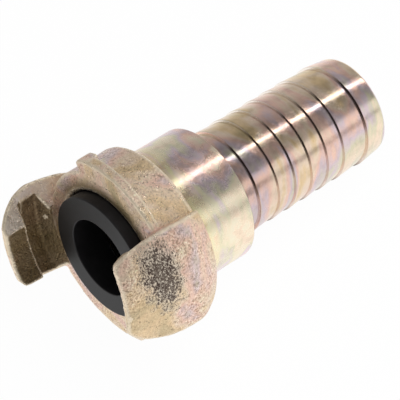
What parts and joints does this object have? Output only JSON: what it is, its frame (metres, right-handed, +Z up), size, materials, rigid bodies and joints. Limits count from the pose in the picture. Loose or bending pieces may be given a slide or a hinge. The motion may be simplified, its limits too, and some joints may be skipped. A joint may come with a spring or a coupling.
{
  "type": "claw hose coupling",
  "caption": "Quarter-turn claw coupling half with hooked claws, a proud rubber face seal and a swivelling barbed hose tail, lying on its side.",
  "frame": {"origin": "centre of the footprint, on the surface the coupling lies on", "axes": "+X towards the end of the hose tail, +Z up; the coupling's own axis lies in the XZ plane and dips 8.6 degrees towards the tail"},
  "size_m": [0.1184, 0.068, 0.0604],
  "materials": {
    "cast_plated": "malleable iron casting, zinc plated and yellow passivated, rough",
    "turned_plated": "finely turned steel, zinc plated and yellow passivated, with purple, pink and green tints",
    "rubber": "black moulded nitrile rubber, matte",
    "spring_steel": "plain spring steel, oiled"
  },
  "bodies": {
    "coupling_head": {"head": "cast_plated", "seal": "rubber", "snap_ring": "spring_steel"},
    "swivel_tail": {"hose_tail": "turned_plated", "o_ring": "rubber"}
  },
  "joints": [
    {"name": "tail_swivel", "type": "hinge", "parent": "coupling_head", "child": "swivel_tail", "pos_m": [-0.02667, 0, 0.0286], "axis": [0.9888, 0, -0.1495], "continuous": true}
  ]
}
